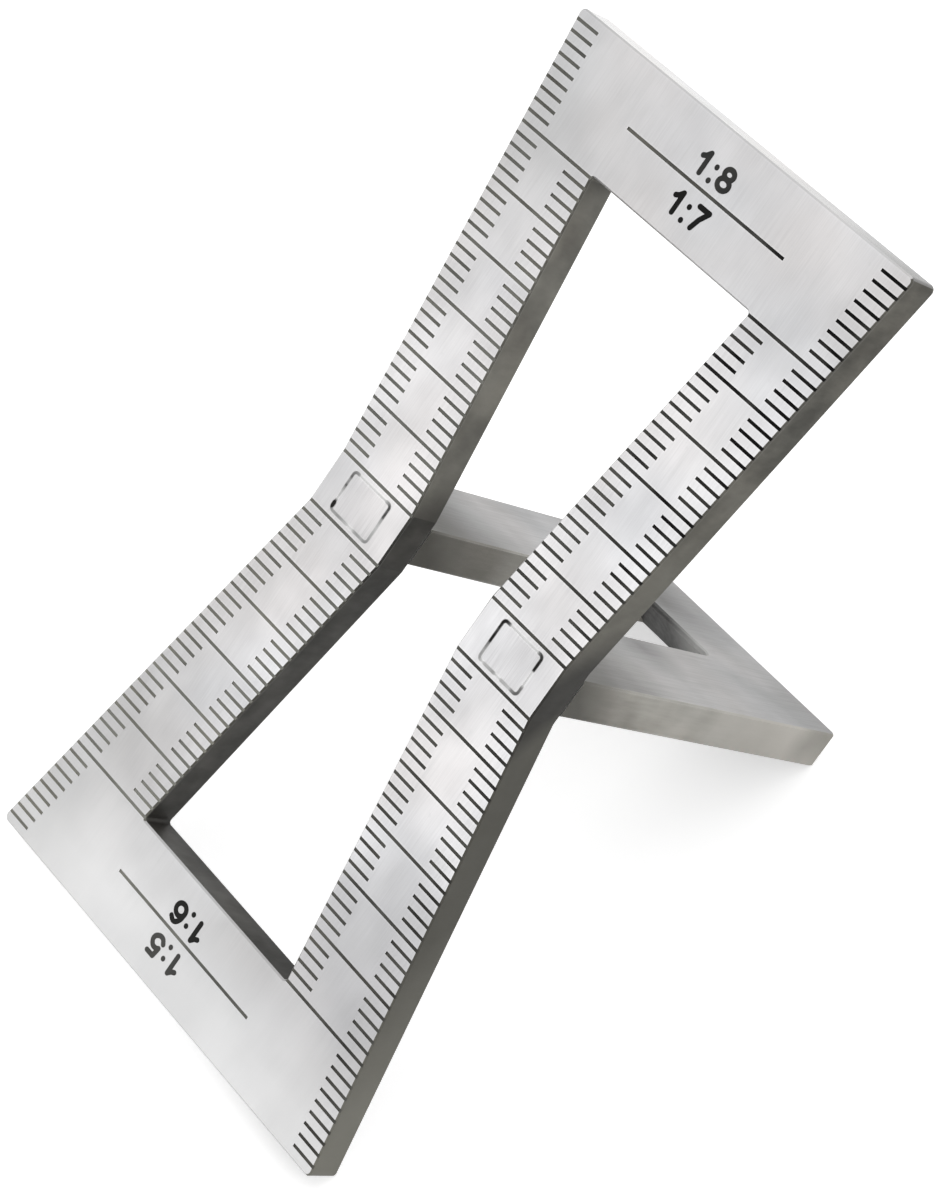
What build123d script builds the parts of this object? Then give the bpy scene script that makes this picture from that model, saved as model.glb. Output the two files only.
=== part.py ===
from build123d import *
import math
import os

# Dovetail marker: a waisted steel plate whose sloping edges guide a pencil or a knife, and a flat
# fence frame that is tenoned into the plate's neck at a right angle and lies along the board.
# It stands as an easel does, on the plate's lower back edge and the frame's lower rear edge.
# X runs across, the graduated front faces -Y and upwards, and the floor is at Z = 0.
# Lengths are in millimetres. A distance along a blade is measured from its zero line.

# Marking plate
plate_thickness = 3.4
neck_length = 5.0
neck_width = 29.4
window_width = 10.5
blade_length = 40.0
window_length = 30.2
plate_corner_radius = 0.5
window_corner_radius = 0.3

# Slopes, each as the length along the blade that gains one unit of width
upper_outer_ratio = 8
upper_window_ratio = 7
lower_window_ratio = 6
lower_outer_ratio = 5

# Engraved graduation
scale_pitch = 1.0
long_mark_every = 5
mark_width = 0.28
mark_depth = 0.1
short_mark_length = 2.75
mark_overrun = 0.3
ratio_line_length = 18.7
ratio_line_distance = 34.9

# Fence frame
frame_thickness = 3.5
frame_reach = 39.4
frame_corner_radius = 0.6
frame_inside_radius = 1.0

# Rear bar of the frame, wide on top, with a long bevel under a narrow lip to its foot
rear_bar_width = 9.2
rear_bar_foot_width = 4.2
rear_bar_lip = 0.5

# Tenons of the frame, flush with the front of the plate and swollen a little by the pressing
tenon_width = 4.68
tenon_height = 3.6
tenon_corner_radius = 0.25
tenon_clearance = 0.17

# Deburred edges, the same on both pieces
edge_break = 0.15

# Both feet touch the floor at this lean, measured up from the floor to the plate
plate_end = neck_length / 2 + blade_length
lean = math.atan2(frame_reach, plate_end - frame_thickness / 2)
lean_cos = math.cos(lean)
lean_sin = math.sin(lean)
edge_loss = edge_break * min(lean_cos, lean_sin)

# Centre of the neck on the front face, over the middle of the footprint
frame_rear = plate_thickness + frame_reach
neck_height = plate_end * lean_sin + plate_thickness * lean_cos - edge_loss
foremost = plate_end * lean_cos - edge_loss
plate_rearmost = plate_end * lean_cos + plate_thickness * lean_sin - edge_loss
frame_rearmost = frame_thickness / 2 * lean_cos + frame_rear * lean_sin - edge_loss
neck_centre = Vector(0, (foremost - max(plate_rearmost, frame_rearmost)) / 2, neck_height)

# Directions up the plate, out of its front face and back along the frame
up_plate = Vector(0, lean_cos, lean_sin)
out_of_front = Vector(0, -lean_sin, lean_cos)
back_along_frame = -out_of_front

# The plate is drawn on its front face, the frame on its own middle plane, where Y runs back
front = Plane(origin=neck_centre, x_dir=(1, 0, 0), z_dir=out_of_front)
back = front.offset(-plate_thickness)
frame_middle = Plane(origin=neck_centre, x_dir=(1, 0, 0), z_dir=up_plate)
depth_axis = Axis(neck_centre, back_along_frame)

# The middle plane of symmetry, where X runs back along the frame and Y up the plate
centre_section = Plane(origin=neck_centre, x_dir=back_along_frame, z_dir=(1, 0, 0))

# Each blade as its way along the plate, its outer ratio and its window ratio
blades = [(1, upper_outer_ratio, upper_window_ratio), (-1, lower_outer_ratio, lower_window_ratio)]


def half_width(width_at_neck, distance, ratio):
    """Half the width of a waisted outline at a distance along a blade."""
    return width_at_neck / 2 + distance / ratio


def waisted_half(width_at_neck, length, upper_ratio, lower_ratio):
    """Corners of the right half of a waisted outline, from its top to its bottom."""
    end = neck_length / 2 + length
    return [
        (0, end),
        (half_width(width_at_neck, length, upper_ratio), end),
        (width_at_neck / 2, neck_length / 2),
        (width_at_neck / 2, -neck_length / 2),
        (half_width(width_at_neck, length, lower_ratio), -end),
        (0, -end),
    ]


# Steps of the scale: marks across the whole leg, and short marks from the outer and window edges
window_steps = range(math.floor(window_length / scale_pitch) + 1)
outer_steps = range(1, math.ceil(blade_length / scale_pitch))
long_steps = [step for step in window_steps if step % long_mark_every == 0]
short_outer_steps = [step for step in outer_steps if step not in long_steps]
short_window_steps = [step for step in window_steps if step not in long_steps]

tenon_offset = (neck_width + window_width) / 4
mortise_width = tenon_width + 2 * tenon_clearance
mortise_height = tenon_height + 2 * tenon_clearance

# Section of the hollow under the lip of the rear bar, from the rounded corners of the gap back
lip_depth = frame_rear - rear_bar_width
lip_bottom = frame_thickness / 2 - rear_bar_lip
bevel_hollow = [
    (lip_depth - frame_inside_radius, lip_bottom),
    (lip_depth, lip_bottom),
    (frame_rear - rear_bar_foot_width, -frame_thickness / 2),
    (lip_depth - frame_inside_radius, -frame_thickness / 2),
]


# Marking plate
with BuildPart() as marking_plate:
    # Waisted blank
    with BuildSketch(front):
        with BuildLine():
            Polyline(*waisted_half(neck_width, blade_length, upper_outer_ratio, lower_outer_ratio))
            mirror(about=Plane.YZ)
        make_face()
        end_corners = vertices().group_by(Axis.Y)
        fillet(end_corners[0] + end_corners[-1], radius=plate_corner_radius)
    extrude(amount=-plate_thickness)

    # Waisted window between the legs
    with BuildSketch(front):
        with BuildLine():
            Polyline(*waisted_half(window_width, window_length, upper_window_ratio, lower_window_ratio))
            mirror(about=Plane.YZ)
        make_face()
        end_corners = vertices().group_by(Axis.Y)
        fillet(end_corners[0] + end_corners[-1], radius=window_corner_radius)
    extrude(amount=-plate_thickness, mode=Mode.SUBTRACT)

    chamfer(faces().filter_by(front).edges(), length=edge_break)

    # Mortises through the two sides of the neck
    with BuildSketch(front):
        with Locations((-tenon_offset, 0), (tenon_offset, 0)):
            RectangleRounded(mortise_width, mortise_height, tenon_corner_radius + tenon_clearance)
    extrude(amount=-plate_thickness, mode=Mode.SUBTRACT)

    # Graduation of the right leg, mirrored to the left, and the line between the ratios of each bar
    with BuildSketch(front):
        for way, outer_ratio, window_ratio in blades:
            for step in long_steps:
                distance = step * scale_pitch
                window_end = half_width(window_width, distance, window_ratio) - mark_overrun
                outer_end = half_width(neck_width, distance, outer_ratio) + mark_overrun
                with Locations(((window_end + outer_end) / 2, way * (neck_length / 2 + distance))):
                    Rectangle(outer_end - window_end, mark_width)
            outer_marks = []
            for step in short_outer_steps:
                distance = step * scale_pitch
                outer_end = half_width(neck_width, distance, outer_ratio) + mark_overrun
                outer_marks.append((outer_end, way * (neck_length / 2 + distance)))
            with Locations(*outer_marks):
                Rectangle(short_mark_length + mark_overrun, mark_width, align=(Align.MAX, Align.CENTER))
            window_marks = []
            for step in short_window_steps:
                distance = step * scale_pitch
                window_end = half_width(window_width, distance, window_ratio) - mark_overrun
                window_marks.append((window_end, way * (neck_length / 2 + distance)))
            with Locations(*window_marks):
                Rectangle(short_mark_length + mark_overrun, mark_width, align=(Align.MIN, Align.CENTER))
        mirror(about=Plane.YZ)
        ratio_line_height = neck_length / 2 + ratio_line_distance
        with Locations((0, ratio_line_height), (0, -ratio_line_height)):
            Rectangle(ratio_line_length, mark_width)
    extrude(amount=-mark_depth, mode=Mode.SUBTRACT)

marking_plate.part.label = "marking_plate"


# Fence frame: two arms behind the neck, joined by the rear bar and open towards the plate
with BuildPart() as fence_frame:
    with BuildSketch(frame_middle):
        with Locations((0, plate_thickness)):
            Rectangle(neck_width, frame_reach, align=(Align.CENTER, Align.MIN))
        fillet(vertices().group_by(Axis.Y)[-1], radius=frame_corner_radius)
    extrude(amount=frame_thickness / 2, both=True)

    with BuildSketch(frame_middle):
        with Locations((0, plate_thickness)):
            Rectangle(window_width, frame_reach - rear_bar_width, align=(Align.CENTER, Align.MIN))
        fillet(vertices().group_by(Axis.Y)[-1], radius=frame_inside_radius)
    extrude(amount=frame_thickness / 2, both=True, mode=Mode.SUBTRACT)

    # The edges of the shoulders stay sharp, where they bear on the back of the plate
    face_edges = faces().filter_by(frame_middle).edges()
    chamfer(face_edges.filter_by_position(depth_axis, plate_thickness, frame_rear, (False, True)), edge_break)

    # Long bevel under the lip of the rear bar, as wide as the gap
    with BuildSketch(centre_section):
        with BuildLine():
            Polyline(*bevel_hollow, close=True)
        make_face()
    extrude(amount=window_width / 2, both=True, mode=Mode.SUBTRACT)

    # One tenon in front of each shoulder
    with BuildSketch(back):
        with Locations((-tenon_offset, 0), (tenon_offset, 0)):
            RectangleRounded(tenon_width, tenon_height, tenon_corner_radius)
    extrude(amount=plate_thickness)

fence_frame.part.label = "fence_frame"


os.makedirs("parts", exist_ok=True)
export_step(marking_plate.part, "parts/marking_plate.step")
export_step(fence_frame.part, "parts/fence_frame.step")
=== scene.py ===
# %% [markdown]
# # A dovetail marker in brushed steel
#
# A dovetail marker is a small gauge that a joiner lays on a board to draw the sloping sides of a
# dovetail. This one is a waisted plate with four slopes, and a flat frame is tenoned into its neck.
# The solids come from the CAD model, and this script gives them their finish, their numerals, the
# light and the camera. It could all be one grey metal, but the real one has several finishes:
# brushed faces, duller cut edges, ground ends, black marks, and the burnished joint round each
# tenon.

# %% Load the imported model
import math

import bmesh
import bpy
from mathutils import Matrix, Vector
from mathutils.geometry import interpolate_bezier


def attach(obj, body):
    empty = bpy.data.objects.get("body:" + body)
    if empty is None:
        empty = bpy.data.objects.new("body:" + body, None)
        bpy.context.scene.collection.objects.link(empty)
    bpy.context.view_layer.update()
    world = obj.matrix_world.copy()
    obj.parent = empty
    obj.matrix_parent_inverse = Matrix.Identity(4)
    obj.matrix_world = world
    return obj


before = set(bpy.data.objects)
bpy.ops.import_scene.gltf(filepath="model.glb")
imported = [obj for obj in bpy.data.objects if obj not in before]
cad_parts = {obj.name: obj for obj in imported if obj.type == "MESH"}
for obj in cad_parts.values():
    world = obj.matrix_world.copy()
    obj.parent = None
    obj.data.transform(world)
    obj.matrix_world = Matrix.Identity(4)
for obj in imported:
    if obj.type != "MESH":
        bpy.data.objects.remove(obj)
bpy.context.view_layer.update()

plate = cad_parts["marking_plate"]
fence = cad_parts["fence_frame"]

# %% [markdown]
# ## Finding places on a leaning plate
#
# The marker stands like an easel, so its plate leans back at about 44 degrees. Every mark and
# finish follows the plate, so it helps to think in the plate's own directions: across, up the
# plate, and out of its front face. One helper turns such a place into a place in the room.

# %% The plate's own directions
MM = 0.001
LEAN = math.radians(44.035)
NECK_CENTRE = Vector((0, -1.1817, 31.8817)) * MM
ACROSS = Vector((1, 0, 0))
UP_PLATE = Vector((0, math.cos(LEAN), math.sin(LEAN)))
OUT_OF_FRONT = Vector((0, -math.sin(LEAN), math.cos(LEAN)))

PLATE_THICKNESS = 3.4 * MM
PLATE_END = 42.5 * MM
NECK_HALF = 2.5 * MM
WINDOW_REACH = 12 * MM                  # the window's walls all stand nearer to the middle
MARK_DEPTH = 0.1 * MM


def on_plate(across, up, out=0.0):
    """The place in the room of a point given in millimetres from the centre of the neck."""
    return NECK_CENTRE + (across * ACROSS + up * UP_PLATE + out * OUT_OF_FRONT) * MM


def height_over_front(point):
    """How far a point of the room stands in front of the plate's front face."""
    return (point - NECK_CENTRE).dot(OUT_OF_FRONT)


front_heights = [height_over_front(v.co) for v in plate.data.vertices]
print("front face stands at", round(max(front_heights) / MM, 4), "mm, back face at",
      round(min(front_heights) / MM, 3), "mm")

# %% [markdown]
# ## Small helpers for node trees
#
# A procedural finish is a tree of nodes. Written out in full, each node takes several lines, which
# hides what the finish does. The first helper adds a node and fills its inputs in one call, with a
# number, a colour or another node's output. The others start a group, a material or an object, mix
# two colours and stretch a value, which nearly every finish below needs.

# %% Helpers for node trees
def add_node(tree, kind, inputs=None, **settings):
    """Adds a node to a tree, with its settings, and fills its inputs by name or by number."""
    made = tree.nodes.new(kind)
    for name, value in settings.items():
        setattr(made, name, value)
    for key, value in (inputs or {}).items():
        if isinstance(value, bpy.types.NodeSocket):
            tree.links.new(value, made.inputs[key])
        else:
            made.inputs[key].default_value = value
    return made


def start_group(name, inputs, outputs):
    """Starts a node group with named inputs and outputs, and returns it with its two end nodes."""
    group = bpy.data.node_groups.new(name, "ShaderNodeTree")
    for label, kind, value in inputs:
        socket = group.interface.new_socket(name=label, in_out="INPUT", socket_type=kind)
        socket.default_value = value
    for label, kind in outputs:
        group.interface.new_socket(name=label, in_out="OUTPUT", socket_type=kind)
    return group, group.nodes.new("NodeGroupInput"), group.nodes.new("NodeGroupOutput")


def start_material(name):
    """Starts a material, and returns it with its tree and its Principled shader."""
    material = bpy.data.materials.new(name)
    material.use_nodes = True
    tree = material.node_tree
    return material, tree, tree.nodes["Principled BSDF"]


def add_object(name, data):
    """Makes an object of a mesh, a lamp or a camera, and puts it into the scene."""
    made = bpy.data.objects.new(name, data)
    bpy.context.scene.collection.objects.link(made)
    return made


def blend_colours(tree, amount, first, second):
    """Goes from the first colour to the second as the amount goes from 0 to 1."""
    mixer = add_node(tree, "ShaderNodeMix", data_type="RGBA",
                     inputs={0: amount, 6: first, 7: second})
    return mixer.outputs[2]


def remap(tree, value, low, high, to_low, to_high):
    """Stretches a value from one span to another and stops at its ends."""
    mapper = add_node(tree, "ShaderNodeMapRange",
                      inputs={0: value, 1: low, 2: high, 3: to_low, 4: to_high})
    return mapper.outputs[0]


print("helpers ready")

# %% [markdown]
# ## The brushed grain
#
# Brushed steel is drawn over an abrasive belt, which leaves fine parallel scratches. A photograph
# or a scanned texture could show them, but noise that is squeezed across the brushing and pulled
# along it does as well at any distance. The group measures along the plate's own directions, and
# the grain's size says which way the belt ran. A second, coarser noise gives the few deep strokes.

# %% Node group: brushed grain
def make_brushed_grain():
    """Fine parallel scratches, and the few deeper strokes among them."""
    group, given, result = start_group(
        "brushed_grain",
        [("Grain Size", "NodeSocketVector", (0.0001, 0.004, 0.0001)),
         ("Seed", "NodeSocketFloat", 0.0)],
        [("Hairlines", "NodeSocketFloat"), ("Deep Strokes", "NodeSocketFloat")],
    )
    place = add_node(group, "ShaderNodeTexCoord").outputs["Object"]
    along_grain = add_node(group, "ShaderNodeMapping", vector_type="TEXTURE", inputs={
        "Vector": place, "Location": NECK_CENTRE, "Rotation": (LEAN, 0, 0),
        "Scale": given.outputs["Grain Size"]})
    hairlines = add_node(group, "ShaderNodeTexNoise", noise_dimensions="4D", inputs={
        "Vector": along_grain.outputs[0], "W": given.outputs["Seed"], "Scale": 1.0, "Detail": 3.0,
        "Roughness": 0.6})
    wider = add_node(group, "ShaderNodeVectorMath", operation="MULTIPLY", inputs={
        0: along_grain.outputs[0], 1: (0.31, 0.31, 0.31)})
    deep = add_node(group, "ShaderNodeTexNoise", noise_dimensions="4D", inputs={
        "Vector": wider.outputs[0], "W": given.outputs["Seed"], "Scale": 1.0, "Detail": 1.0})
    strokes = remap(group, deep.outputs[0], 0.56, 0.74, 0.0, 1.0)
    group.links.new(hairlines.outputs[0], result.inputs["Hairlines"])
    group.links.new(strokes, result.inputs["Deep Strokes"])
    return group


brushed_grain = make_brushed_grain()
print("group:", brushed_grain.name, [s.name for s in brushed_grain.interface.items_tree])

# %% [markdown]
# ## Handling
#
# A gauge that has been handled is never one even grey. Fingers and oil leave broad, faint clouds,
# a little warmer or cooler than the steel, and small dull specks. Soft noise at the size of a
# fingertip gives the clouds, and a finer noise, cut off near its top, gives the specks.

# %% Node group: handling
def make_handling():
    """The faint tint, the clouds and the specks that fingers leave."""
    group, given, result = start_group(
        "handling",
        [("Cloud Size", "NodeSocketFloat", 0.009),
         ("Warm", "NodeSocketColor", (1.0, 0.975, 0.975, 1)),
         ("Cool", "NodeSocketColor", (0.98, 0.98, 1.0, 1))],
        [("Tint", "NodeSocketColor"), ("Clouds", "NodeSocketFloat"),
         ("Specks", "NodeSocketFloat")],
    )
    place = add_node(group, "ShaderNodeTexCoord").outputs["Object"]
    scaled = add_node(group, "ShaderNodeVectorMath", operation="DIVIDE", inputs={
        0: place, 1: given.outputs["Cloud Size"]})
    clouds = add_node(group, "ShaderNodeTexNoise", inputs={
        "Vector": scaled.outputs[0], "Scale": 1.0, "Detail": 2.5, "Roughness": 0.55})
    hue = add_node(group, "ShaderNodeTexNoise", noise_dimensions="4D", inputs={
        "Vector": scaled.outputs[0], "W": 4.0, "Scale": 0.8, "Detail": 1.0})
    tint = blend_colours(group, remap(group, hue.outputs[0], 0.38, 0.62, 0.0, 1.0),
                         given.outputs["Warm"], given.outputs["Cool"])
    fine = add_node(group, "ShaderNodeTexNoise", inputs={
        "Vector": scaled.outputs[0], "Scale": 14.0, "Detail": 2.0})
    specks = remap(group, fine.outputs[0], 0.66, 0.76, 0.0, 1.0)
    group.links.new(tint, result.inputs["Tint"])
    group.links.new(clouds.outputs[0], result.inputs["Clouds"])
    group.links.new(specks, result.inputs["Specks"])
    return group


handling = make_handling()
print("group:", handling.name, [s.name for s in handling.interface.items_tree])

# %% [markdown]
# ## Wear along the edges
#
# The edges of both pieces were broken with a file and then rubbed bright in use. The mask for this
# could be painted by hand. Here the Bevel node rounds the surface's normal near an edge, and where
# the rounded normal leaves the true one, there is an edge.

# %% Node group: edge wear
def make_edge_wear():
    """A mask that is 1 on an edge and 0 away from it."""
    group, given, result = start_group(
        "edge_wear",
        [("Reach", "NodeSocketFloat", 0.0003)],
        [("Worn", "NodeSocketFloat")],
    )
    rounded = add_node(group, "ShaderNodeBevel", samples=6,
                       inputs={"Radius": given.outputs["Reach"]})
    true_normal = add_node(group, "ShaderNodeNewGeometry").outputs["Normal"]
    agreement = add_node(group, "ShaderNodeVectorMath", operation="DOT_PRODUCT", inputs={
        0: rounded.outputs[0], 1: true_normal})
    worn = remap(group, agreement.outputs["Value"], 0.995, 0.93, 0.0, 1.0)
    group.links.new(worn, result.inputs["Worn"])
    return group


edge_wear = make_edge_wear()
print("group:", edge_wear.name, [s.name for s in edge_wear.interface.items_tree])

# %% [markdown]
# ## Painted shade in the corners
#
# The angle between the arms and the plate gets less light, so its shade is painted into the
# steel. Paint could mark these places, but they follow from the shape. The Ambient Occlusion node
# asks how much of the space round a point is blocked within a short reach, and the more it is
# blocked, the darker the painted shade.

# %% Node group: painted corner shade
def make_corner_shade():
    """A mask for painted shade, 1 deep in a corner and 0 in the open."""
    group, given, result = start_group(
        "corner_shade",
        [("Reach", "NodeSocketFloat", 0.007)],
        [("Shade", "NodeSocketFloat")],
    )
    open_space = add_node(group, "ShaderNodeAmbientOcclusion", samples=8, inputs={
        "Distance": given.outputs["Reach"]})
    shade_amount = remap(group, open_space.outputs["AO"], 0.95, 0.5, 0.0, 1.0)
    group.links.new(shade_amount, result.inputs["Shade"])
    return group


corner_shade = make_corner_shade()
print("group:", corner_shade.name, [s.name for s in corner_shade.interface.items_tree])

# %% [markdown]
# ## Steel
#
# Every steel surface but the joints is one recipe with its own values: a pale and a dull tone,
# which the grain, the clouds and the worn edges mix, a roughness that follows them, and a very
# shallow bump. Some steels also take painted shade in their corners. The Principled shader stays
# in the material, and the groups only give masks and a tint.

# %% A recipe for steel
NOISE_LOW, NOISE_HIGH = 0.35, 0.65      # soft noise seldom leaves this span
STROKE_SHARE = 0.35                     # how far a deep stroke goes to the dull tone
SPECK_SHARE = 0.3
BRIGHT_EDGE = (0.85, 0.85, 0.84, 1)
# the colour of the painted shade in corners
PAINTED_SHADE = (0.06, 0.058, 0.05, 1)
SMOOTHER, ROUGHER = 0.05, 0.08          # round a steel's roughness, where clean and where dull


def use_group(tree, group, **inputs):
    """Places a node group in a material. An underscore in an input's name stands for a space."""
    return add_node(tree, "ShaderNodeGroup", node_tree=group,
                    inputs={name.replace("_", " "): value for name, value in inputs.items()})


def make_steel(name, pale, dull, grain_size, roughness, metallic, hairline_depth, seed=0.0,
               cloud_size=0.009, cloudiness=0.5, worn_gain=0.3, shade_amount=0.0, shade_reach=0.007):
    """A brushed or cut steel, pale where it is clean and dull where it is not."""
    material, tree, shader = start_material(name)
    grain = use_group(tree, brushed_grain, Grain_Size=grain_size, Seed=seed)
    touched = use_group(tree, handling, Cloud_Size=cloud_size)
    edges = use_group(tree, edge_wear)

    dullness = add_node(tree, "ShaderNodeMath", operation="MULTIPLY_ADD", inputs={
        0: remap(tree, touched.outputs["Clouds"], NOISE_LOW, NOISE_HIGH, 0.0, 1.0),
        1: cloudiness,
        2: remap(tree, grain.outputs["Hairlines"], NOISE_LOW, NOISE_HIGH, 0.0, 1.0 - cloudiness)})
    clean = blend_colours(tree, dullness.outputs[0], pale, dull)
    tinted = add_node(tree, "ShaderNodeMix", data_type="RGBA", blend_type="MULTIPLY", inputs={
        0: 1.0, 6: clean, 7: touched.outputs["Tint"]}).outputs[2]
    strokes = remap(tree, grain.outputs["Deep Strokes"], 0, 1, 0, STROKE_SHARE)
    stroked = blend_colours(tree, strokes, tinted, dull)
    specks = remap(tree, touched.outputs["Specks"], 0, 1, 0, SPECK_SHARE)
    specked = blend_colours(tree, specks, stroked, dull)
    worn = blend_colours(tree, remap(tree, edges.outputs["Worn"], 0, 1, 0, worn_gain), specked,
                         BRIGHT_EDGE)
    # Painted shade: a steel that asks for it darkens in its corners, where less light reaches
    if shade_amount:
        corners = use_group(tree, corner_shade, Reach=shade_reach)
        worn = blend_colours(tree, remap(tree, corners.outputs["Shade"], 0, 1, 0, shade_amount), worn,
                             PAINTED_SHADE)
    tree.links.new(worn, shader.inputs["Base Color"])
    uneven = remap(tree, dullness.outputs[0], 0, 1, roughness - SMOOTHER, roughness + ROUGHER)
    tree.links.new(uneven, shader.inputs["Roughness"])
    shader.inputs["Metallic"].default_value = metallic
    bump = add_node(tree, "ShaderNodeBump", inputs={
        "Strength": 0.5, "Distance": hairline_depth, "Height": grain.outputs["Hairlines"]})
    tree.links.new(bump.outputs[0], shader.inputs["Normal"])
    return material


# The size of the grain across the marker, up the plate and out of its front, in metres
ALONG_PLATE = (0.00009, 0.0045, 0.00009)
ACROSS_PLATE = (0.0045, 0.00009, 0.00009)
ALONG_ARMS = (0.00012, 0.00012, 0.0045)
THROUGH_PLATE = (0.0005, 0.0005, 0.0016)
ALONG_ARM_SIDES = (0.0005, 0.0005, 0.004)

plate_face_steel = make_steel(
    "plate_face_steel", (0.67, 0.67, 0.67, 1), (0.54, 0.54, 0.54, 1), ALONG_PLATE,
    roughness=0.36, metallic=0.75, hairline_depth=0.000004, cloudiness=0.62)
# The plate's sides are dark partly for their duller cut finish and partly as a painted dark
# reflection; they also take painted shade in their corners
plate_edge_steel = make_steel(
    "plate_edge_steel", (0.125, 0.12, 0.098, 1), (0.052, 0.05, 0.04, 1), THROUGH_PLATE,
    roughness=0.5, metallic=0.4, hairline_depth=0.000008, seed=2.0, cloud_size=0.0045,
    cloudiness=0.8, worn_gain=0.1, shade_amount=0.5, shade_reach=0.016)
# The window's walls have a lit and a shaded copy of one cut steel, as they mirror different
# surroundings above and below the neck: painted light and painted shade
lit_wall_steel = make_steel(
    "lit_wall_steel", (0.22, 0.213, 0.18, 1), (0.135, 0.131, 0.112, 1), THROUGH_PLATE,
    roughness=0.5, metallic=0.4, hairline_depth=0.000008, seed=2.5, cloud_size=0.0045,
    cloudiness=0.8, worn_gain=0.1, shade_amount=0.5, shade_reach=0.016)
shaded_wall_steel = make_steel(
    "shaded_wall_steel", (0.065, 0.063, 0.055, 1), (0.03, 0.029, 0.025, 1), THROUGH_PLATE,
    roughness=0.5, metallic=0.4, hairline_depth=0.000008, seed=2.7, cloud_size=0.0045,
    cloudiness=0.8, worn_gain=0.1)
plate_end_steel = make_steel(
    "plate_end_steel", (0.90, 0.90, 0.89, 1), (0.68, 0.68, 0.66, 1), ACROSS_PLATE,
    roughness=0.25, metallic=1.0, hairline_depth=0.000003, seed=3.0)
frame_face_steel = make_steel(
    "frame_face_steel", (0.52, 0.52, 0.515, 1), (0.37, 0.37, 0.365, 1), ALONG_ARMS,
    roughness=0.42, metallic=0.5, hairline_depth=0.000004, seed=5.0, cloudiness=0.6,
    shade_amount=0.9, shade_reach=0.018)
frame_edge_steel = make_steel(
    "frame_edge_steel", (0.42, 0.41, 0.37, 1), (0.26, 0.255, 0.225, 1), ALONG_ARM_SIDES,
    roughness=0.5, metallic=0.5, hairline_depth=0.000006, seed=7.0, cloud_size=0.006,
    cloudiness=0.7, worn_gain=0.2, shade_amount=0.9, shade_reach=0.018)
# The bevel's dark tone is partly its cut finish and partly painted shade, as it looks down into the
# shade under the plate
bevel_steel = make_steel(
    "bevel_steel", (0.10, 0.10, 0.095, 1), (0.04, 0.04, 0.038, 1), ALONG_ARM_SIDES,
    roughness=0.55, metallic=0.3, hairline_depth=0.00001, seed=9.0, worn_gain=0.1)
tenon_end_steel = make_steel(
    "tenon_end_steel", (0.68, 0.68, 0.68, 1), (0.52, 0.52, 0.52, 1), ALONG_PLATE,
    roughness=0.38, metallic=0.75, hairline_depth=0.000004, seed=11.0)
print("steels:", [m.name for m in bpy.data.materials if m.name.endswith("_steel")])

# %% [markdown]
# ## Tones that change from place to place
#
# No long side of the marker has one tone from end to end. The plate's sides are darkest at the
# neck and palest at the foot, and the arms of the frame darken where they meet the plate. The light
# does part of this, but not all, so the rest is painted: a steel may move towards a second colour
# along an axis of the room, or round one place. Most of these changes are painted shade and painted
# light, each marked where it is made; the others only make a tone darker or paler in one part. Even
# so one edge steel isn't enough: the walls of the window look pale above the neck and almost black
# below it, as they mirror different surroundings, so they have a lit and a shaded copy of one
# steel:
# painted light and painted shade.

# %% A colour that changes along a piece
ACROSS_AXIS, DEPTH_AXIS, HEIGHT_AXIS = 0, 1, 2


def open_colour(material):
    """What a change of a material's colour needs: its tree, the place in the room, its colour."""
    tree = material.node_tree
    place = add_node(tree, "ShaderNodeTexCoord").outputs["Object"]
    return tree, place, tree.nodes["Principled BSDF"].inputs["Base Color"]


def change_along(material, axis, start, end, colour, most=1.0):
    """Takes a material's colour towards another, from one place along an axis to a second."""
    tree, place, base = open_colour(material)
    along = add_node(tree, "ShaderNodeSeparateXYZ", inputs={0: place}).outputs[axis]
    amount = remap(tree, along, start, end, 0.0, most)
    tree.links.new(blend_colours(tree, amount, base.links[0].from_socket, colour), base)


def smudge_and_shade(material, across, up, reach, colour, most, out=0.0):
    """Takes a material's colour towards another one round a place, most in its middle."""
    tree, place, base = open_colour(material)
    distance = add_node(tree, "ShaderNodeVectorMath", operation="DISTANCE", inputs={
        0: place, 1: on_plate(across, up, out)}).outputs["Value"]
    amount = remap(tree, distance, reach * MM, 0.0, 0.0, most)
    tree.links.new(blend_colours(tree, amount, base.links[0].from_socket, colour), base)


# Places along an axis are in metres, and those round one place in millimetres from the neck
# Painted shade: the bevel is darkest at its left end, in the left arm's shade, and pales to the
# right
change_along(bevel_steel, ACROSS_AXIS, -0.0005, 0.0035, (0.46, 0.46, 0.45, 1))
# Painted light and painted shade on the frame's sides: paler towards the back, where more light
# falls, and dark near the plate, which shades them
change_along(frame_edge_steel, DEPTH_AXIS, 0.008, 0.024, (0.50, 0.48, 0.44, 1))
change_along(frame_edge_steel, DEPTH_AXIS, 0.0078, 0.0018, (0.09, 0.087, 0.075, 1))
# Painted shade: the frame's upper face darkens near the plate
change_along(frame_face_steel, DEPTH_AXIS, 0.0125, 0.0045, (0.11, 0.107, 0.097, 1))
change_along(frame_face_steel, ACROSS_AXIS, 0.0, 0.012, (0.13, 0.127, 0.115, 1), most=0.18)
change_along(frame_edge_steel, DEPTH_AXIS, 0.0262, 0.0285, (0.20, 0.195, 0.17, 1), most=0.55)
# Painted shade: the lit wall darkens towards the neck
change_along(lit_wall_steel, HEIGHT_AXIS, 0.0352, 0.032, (0.045, 0.043, 0.038, 1), most=0.8)
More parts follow.
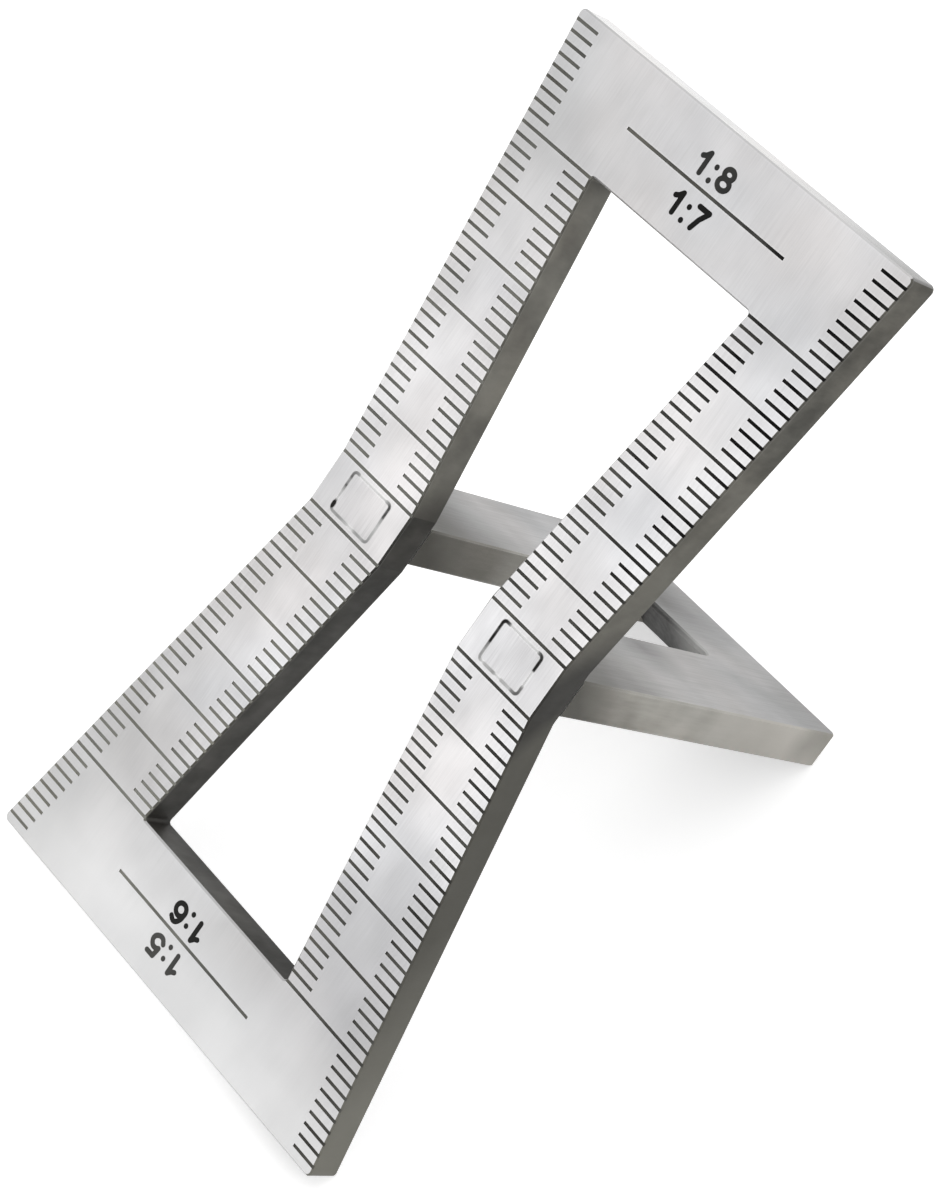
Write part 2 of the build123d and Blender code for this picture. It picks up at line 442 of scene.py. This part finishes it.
# Painted light and painted shade along the plate's sides: paler at the upper end and towards the
# foot, and darkest at the neck, where the sides turn towards darker surroundings
change_along(plate_edge_steel, HEIGHT_AXIS, 0.050, 0.040, (0.16, 0.155, 0.128, 1), most=0.4)
change_along(plate_edge_steel, HEIGHT_AXIS, 0.036, 0.0318, (0.015, 0.014, 0.012, 1), most=0.9)
change_along(plate_edge_steel, HEIGHT_AXIS, 0.029, 0.0272, (0.082, 0.079, 0.066, 1), most=0.95)
change_along(plate_edge_steel, HEIGHT_AXIS, 0.016, 0.004, (0.225, 0.22, 0.188, 1), most=0.75)
# Painted shade: the ground end darkens towards its right side
change_along(plate_end_steel, ACROSS_AXIS, 0.001, 0.018, (0.10, 0.10, 0.095, 1), most=0.85)
# Painted shade: the face is a little darker towards its top
change_along(plate_face_steel, HEIGHT_AXIS, 0.048, 0.054, (0.34, 0.34, 0.335, 1), most=0.10)
change_along(plate_face_steel, HEIGHT_AXIS, 0.021, 0.0125, (0.34, 0.34, 0.34, 1), most=0.5)
change_along(plate_face_steel, HEIGHT_AXIS, 0.0105, 0.0045, (0.66, 0.66, 0.66, 1), most=0.8)
# Painted shade: the face darkens towards its left side
change_along(plate_face_steel, ACROSS_AXIS, -0.011, -0.018, (0.34, 0.34, 0.335, 1), most=0.28)

FRAME_TOP = 1.75                        # how far up the frame's upper face lies
smudge_and_shade(plate_face_steel, 16.0, -29.0, 13.0, (0.34, 0.335, 0.345, 1), most=0.45)
# Painted shade at the upper left of the face
smudge_and_shade(plate_face_steel, -14.5, 33.0, 11.0, (0.34, 0.335, 0.325, 1), most=0.3)
smudge_and_shade(plate_face_steel, 0.0, 33.5, 10.0, (0.34, 0.335, 0.33, 1), most=0.25)
# Painted reflection: the frame's upper face is dark beside the plate's leg, whose dark side it
# mirrors
smudge_and_shade(frame_face_steel, -3.5, FRAME_TOP, 8.5, (0.10, 0.097, 0.092, 1), most=1.0, out=-36.0)
smudge_and_shade(frame_face_steel, 6.5, FRAME_TOP, 5.0, (0.12, 0.115, 0.11, 1), most=0.75, out=-21.0)
smudge_and_shade(frame_edge_steel, 14.7, 0.0, 3.0, (0.15, 0.145, 0.13, 1), most=0.45, out=-39.2)
print("steels that change:", sorted(
    steel.name for steel in (bevel_steel, frame_edge_steel, frame_face_steel, lit_wall_steel,
                             plate_edge_steel, plate_end_steel, plate_face_steel)))

# %% [markdown]
# ## Black marks
#
# The graduation is engraved and filled black. The fill is not perfect: it is matt, and it has worn
# thin and grey on the left leg and towards the foot, where the marker is held. So its wear follows
# the place on the plate, and a second use of the handling group makes it uneven. Two of the four
# numerals kept more of their black, so the same recipe is used three times.

# %% A recipe for the black fill
RUBBED_ACROSS = (0.016, -0.008)         # from the right leg to the left, in metres
RUBBED_DOWN = (0.055, 0.005)            # from the upper bar to the foot


def make_black_fill(name, deep, thin):
    """A matt black that has worn towards a thin, paler tone where the marker is held."""
    material, tree, shader = start_material(name)
    touched = use_group(tree, handling, Cloud_Size=0.004, Warm=(1, 0.98, 0.95, 1),
                        Cool=(1, 1, 1, 1))
    place = add_node(tree, "ShaderNodeTexCoord").outputs["Object"]
    sides = add_node(tree, "ShaderNodeSeparateXYZ", inputs={0: place})
    left_side = remap(tree, sides.outputs[ACROSS_AXIS], *RUBBED_ACROSS, 0.0, 0.5)
    foot = remap(tree, sides.outputs[HEIGHT_AXIS], *RUBBED_DOWN, 0.0, 0.3)
    rubbed = add_node(tree, "ShaderNodeMath", operation="ADD", inputs={0: left_side, 1: foot})
    worn = add_node(tree, "ShaderNodeMath", operation="MULTIPLY_ADD", use_clamp=True, inputs={
        0: remap(tree, touched.outputs["Clouds"], NOISE_LOW, NOISE_HIGH, -1.0, 1.0),
        1: 0.12, 2: rubbed.outputs[0]})
    fill = blend_colours(tree, worn.outputs[0], deep, thin)
    tinted = add_node(tree, "ShaderNodeMix", data_type="RGBA", blend_type="MULTIPLY", inputs={
        0: 1.0, 6: fill, 7: touched.outputs["Tint"]}).outputs[2]
    tree.links.new(tinted, shader.inputs["Base Color"])
    shader.inputs["Roughness"].default_value = 0.8
    shader.inputs["Specular IOR Level"].default_value = 0.1
    bump = add_node(tree, "ShaderNodeBump", inputs={
        "Strength": 0.4, "Distance": 0.00001, "Height": touched.outputs["Clouds"]})
    tree.links.new(bump.outputs[0], shader.inputs["Normal"])
    return material


black_fill = make_black_fill("black_fill", (0.008, 0.008, 0.008, 1), (0.46, 0.46, 0.42, 1))
figure_fill = make_black_fill("figure_fill", (0.012, 0.012, 0.012, 1), (0.14, 0.14, 0.135, 1))
fresh_figure_fill = make_black_fill("fresh_figure_fill", (0.003, 0.003, 0.003, 1),
                                    (0.04, 0.04, 0.038, 1))
print("fills:", black_fill.name, figure_fill.name, fresh_figure_fill.name)

# %% [markdown]
# ## Giving each face its finish
#
# The solids arrive with one plain material each. Their faces could be split into new objects, but
# that would be a second model to keep. It is enough to hang several materials on the solid and to
# choose among them face by face: by which way a face looks, how deep it lies in the plate, and
# where along the plate it is.

# %% The plate's finishes
MARK_DEEPEST, MARK_SHALLOWEST = -1.2 * MARK_DEPTH, -0.5 * MARK_DEPTH
MARK_FLOOR_FACING = 0.95                # how nearly a mark's floor looks straight out
MARK_WALL_FACING = 0.3
FACE_FACING = 0.9
CHAMFER_FACING = 0.5
RIGHTWARD = 0.3                         # a chamfer that looks this far right is as dark as its edge
END_SLACK = 0.2 * MM
NECK_SLACK = 0.1 * MM


def sort_faces(solid, materials, choose):
    """Hangs the materials on a solid and gives each face the one that choose names."""
    mesh = solid.data
    mesh.materials.clear()
    order = list(materials)
    for name in order:
        mesh.materials.append(materials[name])
    counts = dict.fromkeys(order, 0)
    for face in mesh.polygons:
        name = choose(face.normal, [mesh.vertices[i].co for i in face.vertices])
        face.material_index = order.index(name)
        counts[name] += 1
    return counts


def plate_finish(normal, corners):
    """The name of the finish of one face of the plate."""
    heights = [height_over_front(c) for c in corners]
    facing = normal.dot(OUT_OF_FRONT)
    in_a_mark = MARK_DEEPEST < min(heights) < MARK_SHALLOWEST
    if in_a_mark and (facing > MARK_FLOOR_FACING or abs(facing) < MARK_WALL_FACING):
        return "black"
    if abs(facing) > FACE_FACING:
        return "face"
    if abs(facing) > CHAMFER_FACING:
        return "edge" if normal.x > RIGHTWARD else "face"
    ways_up = [(c - NECK_CENTRE).dot(UP_PLATE) for c in corners]
    if min(abs(up) for up in ways_up) > PLATE_END - END_SLACK:
        return "end"
    if max(abs(c.x) for c in corners) > WINDOW_REACH:
        return "edge"
    # Painted light and shade: the window's walls above the neck take the lit steel, and those below
    # it the shaded one
    return "lit wall" if min(ways_up) > NECK_HALF - NECK_SLACK else "shaded wall"


print("plate:", sort_faces(plate, {"face": plate_face_steel, "edge": plate_edge_steel,
                                   "lit wall": lit_wall_steel, "shaded wall": shaded_wall_steel,
                                   "end": plate_end_steel, "black": black_fill}, plate_finish))

# %% The frame's finishes
TENON_ROOT = -1.01 * PLATE_THICKNESS    # the plate's back, with a little slack
BEVEL_FACING = (-0.9, -0.8)             # the long bevel looks down, but not straight down


def frame_finish(normal, corners):
    """The name of the finish of one face of the frame."""
    forward = normal.dot(OUT_OF_FRONT)
    if min(height_over_front(c) for c in corners) > TENON_ROOT:
        return "tenon" if forward > FACE_FACING else "edge"
    facing_up = normal.dot(UP_PLATE)
    if BEVEL_FACING[0] < facing_up < BEVEL_FACING[1] or forward > CHAMFER_FACING:
        return "bevel"
    return "face" if abs(facing_up) > FACE_FACING else "edge"


print("frame:", sort_faces(fence, {"face": frame_face_steel, "edge": frame_edge_steel,
                                   "bevel": bevel_steel, "tenon": tenon_end_steel}, frame_finish))

# %% [markdown]
# ## The numerals
#
# Each end bar names its two slopes, 1:8 and 1:7 above, 1:6 and 1:5 below and upside down, so that
# each reads upright when that end is used. A font would do, but the real figures are drawn with
# one round pen, about 0.45 mm wide. So each figure here is a pen stroke through a few points, and
# the stroke is laid on the plate as a thin skin of paint with round ends.

# %% The pen strokes of each figure
PEN_WIDTH = 0.46                        # in millimetres, like every measure of a figure
TOP = 1.75                              # the height of a figure
ROUND_STEPS = 7


def oval(centre_x, centre_y, half_width, half_height, steps=28):
    """Points round an oval, for the closed loops of a figure."""
    turns = [2 * math.pi * i / steps for i in range(steps)]
    return [(centre_x + half_width * math.cos(a), centre_y + half_height * math.sin(a))
            for a in turns]


def curve_through(*knots, steps=6):
    """A smooth line through the knots, as a pen draws it."""
    points = [Vector((x, y)) for x, y in knots]
    last = len(points) - 1
    slopes = [points[min(i + 1, last)] - points[max(i - 1, 0)] for i in range(len(points))]
    line = [points[0]]
    for a, b, slope_a, slope_b in zip(points, points[1:], slopes, slopes[1:]):
        line += interpolate_bezier(a, a + slope_a / 6, b - slope_b / 6, b, steps + 1)[1:]
    return [(p.x, p.y) for p in line]


FIGURES = {
    "one": [([(0, TOP), (0, 0)], False),
            ([(-0.58, TOP - 0.50), (-0.30, TOP - 0.36), (0, TOP)], False)],
    "colon": [([(0, -0.03), (0, 0)], False), ([(0, 1.17), (0, 1.2)], False)],
    "eight": [(oval(0.57, 0.47, 0.58, 0.47), True), (oval(0.57, 1.34, 0.48, 0.41), True)],
    "seven": [([(0, TOP), (1.14, TOP)], False), ([(1.14, TOP), (0.62, 0.9), (0.32, 0)], False)],
    "six": [(oval(0.54, 0.55, 0.57, 0.55), True),
            (curve_through((-0.03, 0.62), (0.05, 1.18), (0.30, 1.60), (0.64, 1.74),
                           (1.04, 1.52)), False)],
    "five": [(curve_through((0, 0.36), (0.30, 0.04), (0.72, 0.02), (1.12, 0.32), (1.16, 0.72),
                            (0.86, 1.06), (0.46, 1.08), (0.16, 0.92)), False),
             ([(0.16, 0.92), (0.30, TOP)], False), ([(0.30, TOP), (1.08, TOP)], False)],
}
print("figures:", {name: len(strokes) for name, strokes in FIGURES.items()})

# %% Laying a pen stroke as a thin skin
SKIN_TOP = 0.012
SKIN_BOTTOM = -0.02
STROKE_LIFT = 0.0006                    # each stroke lies a little over the one before
SAME_PLACE = 0.0000002


def sideways(points, i, closed):
    """The direction square to a stroke at one of its points."""
    count = len(points)
    before = points[(i - 1) % count] if closed else points[max(i - 1, 0)]
    after = points[(i + 1) % count] if closed else points[min(i + 1, count - 1)]
    run = (after - before).normalized()
    return Vector((-run.y, run.x))


def round_end(centre, towards, steps=ROUND_STEPS):
    """The points of a half circle round a stroke's end, from its left side to its right side."""
    side = Vector((-towards.y, towards.x)) * PEN_WIDTH / 2
    ahead = towards * PEN_WIDTH / 2
    turns = [math.pi * i / (steps + 1) for i in range(1, steps + 1)]
    return [centre + side * math.cos(a) + ahead * math.sin(a) for a in turns]


def stroke_faces(path, closed):
    """The flat outline of a stroke: one closed outline, or a ring of small faces for a loop."""
    points = [Vector(p) for p in path]
    sides = [sideways(points, i, closed) * PEN_WIDTH / 2 for i in range(len(points))]
    left = [p + s for p, s in zip(points, sides)]
    right = [p - s for p, s in zip(points, sides)]
    if closed:
        count = len(points)
        return [[left[i], left[(i + 1) % count], right[(i + 1) % count], right[i]]
                for i in range(count)]
    last = (points[-1] - points[-2]).normalized()
    first = (points[0] - points[1]).normalized()
    return [left + round_end(points[-1], last) + right[::-1] + round_end(points[0], first)]


def paint_figures(name, text, across, up, fill, upside_down=False):
    """Makes one piece of a line of figures, whose first stem stands at the given place."""
    mesh = bpy.data.meshes.new(name)
    skin = bmesh.new()
    turn = -1 if upside_down else 1
    lift = 0.0
    for figure, offset in text:
        for path, closed in FIGURES[figure]:
            lift += STROKE_LIFT
            for outline in stroke_faces(path, closed):
                corners = [on_plate(across + turn * (p.x + offset), up + turn * p.y,
                                    SKIN_TOP + lift) for p in outline]
                skin.faces.new([skin.verts.new(c) for c in corners])
    bmesh.ops.remove_doubles(skin, verts=skin.verts, dist=SAME_PLACE)
    bmesh.ops.recalc_face_normals(skin, faces=skin.faces)
    for face in skin.faces:
        if face.normal.dot(OUT_OF_FRONT) < 0:
            face.normal_flip()
    sheet = bmesh.ops.extrude_face_region(skin, geom=list(skin.faces), use_keep_orig=True)
    lower = [g for g in sheet["geom"] if isinstance(g, bmesh.types.BMVert)]
    bmesh.ops.translate(skin, verts=lower, vec=OUT_OF_FRONT * (SKIN_BOTTOM - SKIN_TOP) * MM)
    skin.to_mesh(mesh)
    skin.free()
    piece = add_object(name, mesh)
    piece.data.materials.append(fill)
    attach(piece, "root")
    return piece


COLON_AT = 1.12
FIGURE_AT = 1.90
numerals = [
    paint_figures("ratio_one_to_eight", [("one", 0), ("colon", COLON_AT), ("eight", FIGURE_AT)],
                  -1.45, 38.31, figure_fill),
    paint_figures("ratio_one_to_seven", [("one", 0), ("colon", COLON_AT), ("seven", FIGURE_AT)],
                  -1.46, 34.62, fresh_figure_fill),
    paint_figures("ratio_one_to_six", [("one", 0), ("colon", COLON_AT), ("six", FIGURE_AT)],
                  0.48, -34.97, fresh_figure_fill, upside_down=True),
    paint_figures("ratio_one_to_five", [("one", 0), ("colon", COLON_AT), ("five", FIGURE_AT)],
                  0.45, -38.48, figure_fill, upside_down=True),
]
print("numerals:", {n.name: len(n.data.polygons) for n in numerals})

# %% [markdown]
# ## The joint round each tenon
#
# The tenons were pressed through the plate and ground flush, so most of the joint is smeared shut
# and only a faint line shows, while a few corners stay open and dark. The solid has an even gap
# all round. A narrow ring fills it: just under the front where the joint is shut, and a little
# proud and wider where dirt has gathered in it. How far it gapes is read from a dial round the
# tenon, in degrees anticlockwise from its right side, because no two sides are alike.

# %% Reading the dial of a joint
TENON_OFFSET = 9.975
TENON_HALF = (2.34, 1.80)
MORTISE_HALF = (2.51, 1.97)
TENON_CORNER = 0.25
MORTISE_CORNER = 0.42
RIGHT_DIAL = [
    (0, 0.08), (12, 0.12), (16, 1.0), (45, 1.2), (51, 0.9), (54, 0.15), (90, 0.08), (123, 0.15),
    (127, 0.9), (135, 1.2), (152, 0.85), (180, 1.0), (187, 0.9), (192, 0.6), (212, 0.55),
    (225, 0.5), (231, 0.15), (238, 0.4), (250, 0.4), (256, 0.5), (267, 0.1), (275, 0.1),
    (283, 0.45), (296, 0.38), (302, 0.25), (307, 0.65), (315, 0.7), (328, 0.6), (335, 0.15)]
LEFT_DIAL = [
    (0, 0.3), (15, 0.4), (20, 0.8), (45, 0.75), (51, 0.45), (55, 0.15), (90, 0.06), (125, 0.12),
    (128, 0.45), (135, 0.65), (145, 0.7), (151, 0.45), (160, 0.5), (166, 0.75), (172, 0.45),
    (186, 0.25), (205, 0.2), (209, 0.8), (213, 1.6), (220, 1.6), (225, 0.65), (238, 0.45),
    (248, 0.42), (261, 0.38), (272, 0.15), (282, 0.15), (290, 0.42), (307, 0.5), (315, 0.55),
    (325, 0.4), (342, 0.3)]


def read_dial(dial, point):
    """How far the joint gapes at a point of its ring, from 0 where shut to a little over 1."""
    degrees = math.degrees(math.atan2(point.y / MORTISE_HALF[1], point.x / MORTISE_HALF[0])) % 360
    following = dial[1:] + [(360, dial[0][1])]
    for (start, before), (end, after) in zip(dial, following):
        if start <= degrees <= end:
            return before + (after - before) * (degrees - start) / (end - start)
    return dial[0][1]


print("dials:", len(RIGHT_DIAL), len(LEFT_DIAL))

# %% A ring that fills the joint
# Each vertex across the ring: how far out it lies from the middle, and how much of the gape shows
ACROSS_THE_RING = [(-1.0, 0.25), (-0.55, 1.0), (0.0, 1.0), (0.55, 1.0), (1.0, 0.25)]
DIRT_STARTS, DIRT_SPAN = 0.1, 0.2       # of the gape
RING_SUNK, RING_RISE = -0.012, 0.02     # height over the front without dirt, and what dirt adds
DIRT_WIDENS, GAPE_WIDENS = 0.08, 0.10


def rounded_outline(half, corner, steps_a_corner=6, steps_a_side=40):
    """Points round a rectangle with rounded corners, as many on each side and corner."""
    outline = []
    for quarter, (sign_x, sign_y) in enumerate([(1, 1), (-1, 1), (-1, -1), (1, -1)]):
        centre = Vector((sign_x * (half[0] - corner), sign_y * (half[1] - corner)))
        for i in range(steps_a_corner + 1):
            angle = math.pi / 2 * (quarter + i / steps_a_corner)
            outline.append(centre + Vector((math.cos(angle), math.sin(angle))) * corner)
    with_sides = []
    for i, point in enumerate(outline):
        with_sides.append(point)
        if i % (steps_a_corner + 1) == steps_a_corner:
            following = outline[(i + 1) % len(outline)]
            with_sides += [point.lerp(following, k / steps_a_side)
                           for k in range(1, steps_a_side)]
    return with_sides


def fill_joint(name, centre_x, dial):
    """Makes the ring that fills one joint, and keeps at each vertex how far the joint gapes."""
    inner = rounded_outline(TENON_HALF, TENON_CORNER)
    outer = rounded_outline(MORTISE_HALF, MORTISE_CORNER)
    mesh = bpy.data.meshes.new(name)
    ring = bmesh.new()
    gape = ring.verts.layers.float.new("gape")
    rows = []
    for a, b in zip(inner, outer):
        middle = (a + b) / 2
        amount = read_dial(dial, middle)
        dirty = min(1.0, max(0.0, (amount - DIRT_STARTS) / DIRT_SPAN))
        half_width = ((b - a).length / 2 + DIRT_WIDENS * dirty
                      + GAPE_WIDENS * max(0.0, amount - 1.0))
        corners = []
        for offset, tone in ACROSS_THE_RING:
            point = middle + (b - a).normalized() * half_width * offset
            vertex = ring.verts.new(on_plate(centre_x + point.x, point.y,
                                             RING_SUNK + RING_RISE * dirty))
            vertex[gape] = amount * tone
            corners.append(vertex)
        rows.append(corners)
    for row, following in zip(rows, rows[1:] + rows[:1]):
        for k in range(len(ACROSS_THE_RING) - 1):
            ring.faces.new([row[k], row[k + 1], following[k + 1], following[k]])
    for face in ring.faces:
        face.normal_update()
        if face.normal.dot(OUT_OF_FRONT) < 0:
            face.normal_flip()
        face.smooth = True
    ring.to_mesh(mesh)
    ring.free()
    piece = add_object(name, mesh)
    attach(piece, "root")
    return piece


right_joint = fill_joint("pressed_joint_right", TENON_OFFSET, RIGHT_DIAL)
left_joint = fill_joint("pressed_joint_left", -TENON_OFFSET, LEFT_DIAL)
print("joints:", {j.name: len(j.data.polygons) for j in (right_joint, left_joint)})

# %% The finish of the joint
SHUT_JOINT = (0.68, 0.68, 0.675, 1)
OPEN_JOINT = (0.012, 0.011, 0.01, 1)


def make_joint_steel():
    """Burnished steel where the joint is shut, going to black as it gapes."""
    material, tree, shader = start_material("joint_steel")
    gape = add_node(tree, "ShaderNodeAttribute", attribute_name="gape").outputs["Fac"]
    touched = use_group(tree, handling, Cloud_Size=0.0012)
    uneven = add_node(tree, "ShaderNodeMath", operation="MULTIPLY", use_clamp=True, inputs={
        0: gape, 1: remap(tree, touched.outputs["Clouds"], 0.35, 0.6, 0.8, 1.15)})
    colour = blend_colours(tree, uneven.outputs[0], SHUT_JOINT, OPEN_JOINT)
    tree.links.new(colour, shader.inputs["Base Color"])
    tree.links.new(remap(tree, uneven.outputs[0], 0, 1, 0.42, 0.75), shader.inputs["Roughness"])
    shader.inputs["Metallic"].default_value = 0.6
    return material


joint_steel = make_joint_steel()
for joint in (right_joint, left_joint):
    joint.data.materials.append(joint_steel)
print("finish:", joint_steel.name)

# %% [markdown]
# ## The floor
#
# The marker stands on a plain white sheet. A lit white floor is a little grey to the camera, so a
# faint glow that only the camera and mirrors see lifts it to white, and the soft shadow of the
# marker stays. Far out the lamps reach less, so the glow grows there and no horizon shows. The
# world round it is white in the same way.

# %% The white floor
FLOOR_SIZE = 3.0
UNDER_THE_FEET = 0.00002                # a hair lower, so that the feet don't cut into it
GLOW_NEAR, GLOW_FAR = 0.52, 0.62
GLOW_GROWS = (0.25, 1.0)                # metres out from the marker
SEEN_IN_MIRRORS = 0.5


def make_floor():
    """A wide sheet a hair under the feet, which belongs to the stage."""
    mesh = bpy.data.meshes.new("white_sheet")
    sheet = bmesh.new()
    bmesh.ops.create_grid(sheet, x_segments=4, y_segments=4, size=FLOOR_SIZE / 2)
    sheet.to_mesh(mesh)
    sheet.free()
    floor = add_object("white_sheet", mesh)
    floor.location.z = -UNDER_THE_FEET
    return floor


def make_white_paper():
    """White paper with a faint glow for the camera and, at half its strength, for mirrors."""
    material, tree, shader = start_material("white_paper")
    grain = add_node(tree, "ShaderNodeTexNoise", inputs={"Scale": 900.0, "Detail": 2.0})
    paper = blend_colours(tree, grain.outputs[0], (0.93, 0.93, 0.93, 1), (0.95, 0.95, 0.95, 1))
    tree.links.new(paper, shader.inputs["Base Color"])
    shader.inputs["Roughness"].default_value = 0.9
    shader.inputs["Specular IOR Level"].default_value = 0.1
    shader.inputs["Emission Color"].default_value = (1, 1, 1, 1)
    rays = add_node(tree, "ShaderNodeLightPath")
    seen = add_node(tree, "ShaderNodeMath", operation="MULTIPLY_ADD", inputs={
        0: rays.outputs["Is Glossy Ray"], 1: SEEN_IN_MIRRORS, 2: rays.outputs["Is Camera Ray"]})
    place = add_node(tree, "ShaderNodeTexCoord").outputs["Object"]
    distance = add_node(tree, "ShaderNodeVectorMath", operation="LENGTH",
                        inputs={0: place}).outputs["Value"]
    glow = remap(tree, distance, *GLOW_GROWS, GLOW_NEAR, GLOW_FAR)
    strength = add_node(tree, "ShaderNodeMath", operation="MULTIPLY",
                        inputs={0: seen.outputs[0], 1: glow})
    tree.links.new(strength.outputs[0], shader.inputs["Emission Strength"])
    return material


floor = make_floor()
floor.data.materials.append(make_white_paper())
print("floor:", floor.name, "size", FLOOR_SIZE, "m")

# %% [markdown]
# ## Light
#
# The marker was shown in even studio light: the graduated front is nearly white, and the edges
# that look down and away are dark. Brushed steel shows what it mirrors, so the lamps are placed by
# the mirror: a small one stands low at the left, just where the front mirrors it to the camera. A
# broad soft lamp hangs over the marker and another lights the frame from the right. Mirrors don't
# see these two, or the ground ends of the plate would glare. A pale world stands for the room.

# %% The white room and the lamps
ROOM_LIGHT = 0.42                       # what the room adds to matt surfaces
MARKER_MIDDLE = (0, 0, 0.03)


def make_room():
    """A world that is white to the camera and mirrors, and dimmer as a light."""
    world = bpy.data.worlds.new("white_room")
    bpy.context.scene.world = world
    world.use_nodes = True
    tree = world.node_tree
    background = tree.nodes["Background"]
    background.inputs["Color"].default_value = (1, 1, 1, 1)
    rays = add_node(tree, "ShaderNodeLightPath")
    glossy = add_node(tree, "ShaderNodeMath", operation="MAXIMUM", inputs={
        0: rays.outputs["Is Glossy Ray"], 1: rays.outputs["Is Transmission Ray"]})
    seen = add_node(tree, "ShaderNodeMath", operation="MAXIMUM", inputs={
        0: rays.outputs["Is Camera Ray"], 1: glossy.outputs[0]})
    strength = remap(tree, seen.outputs[0], 0, 1, ROOM_LIGHT, 1.0)
    tree.links.new(strength, background.inputs["Strength"])


def hang_lamp(name, place, aim, size, power, in_mirrors=True):
    """A square soft lamp at a place in metres, turned towards its aim."""
    light = bpy.data.lights.new(name, "AREA")
    light.shape = "SQUARE"
    light.size = size
    light.energy = power
    lamp = add_object(name, light)
    lamp.location = place
    lamp.rotation_euler = (Vector(aim) - Vector(place)).to_track_quat("-Z", "Y").to_euler()
    lamp.visible_glossy = in_mirrors
    return lamp


make_room()
key_lamp = hang_lamp("key_lamp", (-0.35, 0.25, 0.95), MARKER_MIDDLE, size=1.6, power=6.0,
                     in_mirrors=False)
fill_lamp = hang_lamp("fill_lamp", (-0.63, -0.90, 0.49), MARKER_MIDDLE, size=0.5, power=0.85)
side_lamp = hang_lamp("side_lamp", (0.90, 0.45, 0.35), MARKER_MIDDLE, size=1.2, power=4.0,
                      in_mirrors=False)
print("lamps:", key_lamp.name, fill_lamp.name, side_lamp.name)

# %% [markdown]
# ## The camera
#
# The picture was taken from above the marker's right side with a long lens, which hardly narrows
# the far end. The place, the aim and the slight roll were found by laying the plate's edges and
# graduation over the photograph until they matched.

# %% The camera
LENS_MM = 106.28
SENSOR_MM = 36.0
CAMERA_PLACE = Vector((0.15163, -0.10307, 0.24396))
CAMERA_AIM = Vector((0.003949, -0.000414, 0.032624))
CAMERA_ROLL = math.radians(-2.73)

view = bpy.data.cameras.new("studio_camera")
view.lens = LENS_MM
view.sensor_width = SENSOR_MM
view.clip_start = 0.01
view.clip_end = 20.0
camera = add_object("studio_camera", view)
camera.location = CAMERA_PLACE
level = (CAMERA_AIM - CAMERA_PLACE).to_track_quat("-Z", "Y").to_matrix()
camera.rotation_euler = (level @ Matrix.Rotation(CAMERA_ROLL, 3, "Z")).to_euler()
bpy.context.scene.camera = camera
bpy.context.scene.view_settings.view_transform = "Standard"
print("camera is", round((CAMERA_AIM - CAMERA_PLACE).length * 1000, 1), "mm from its aim")
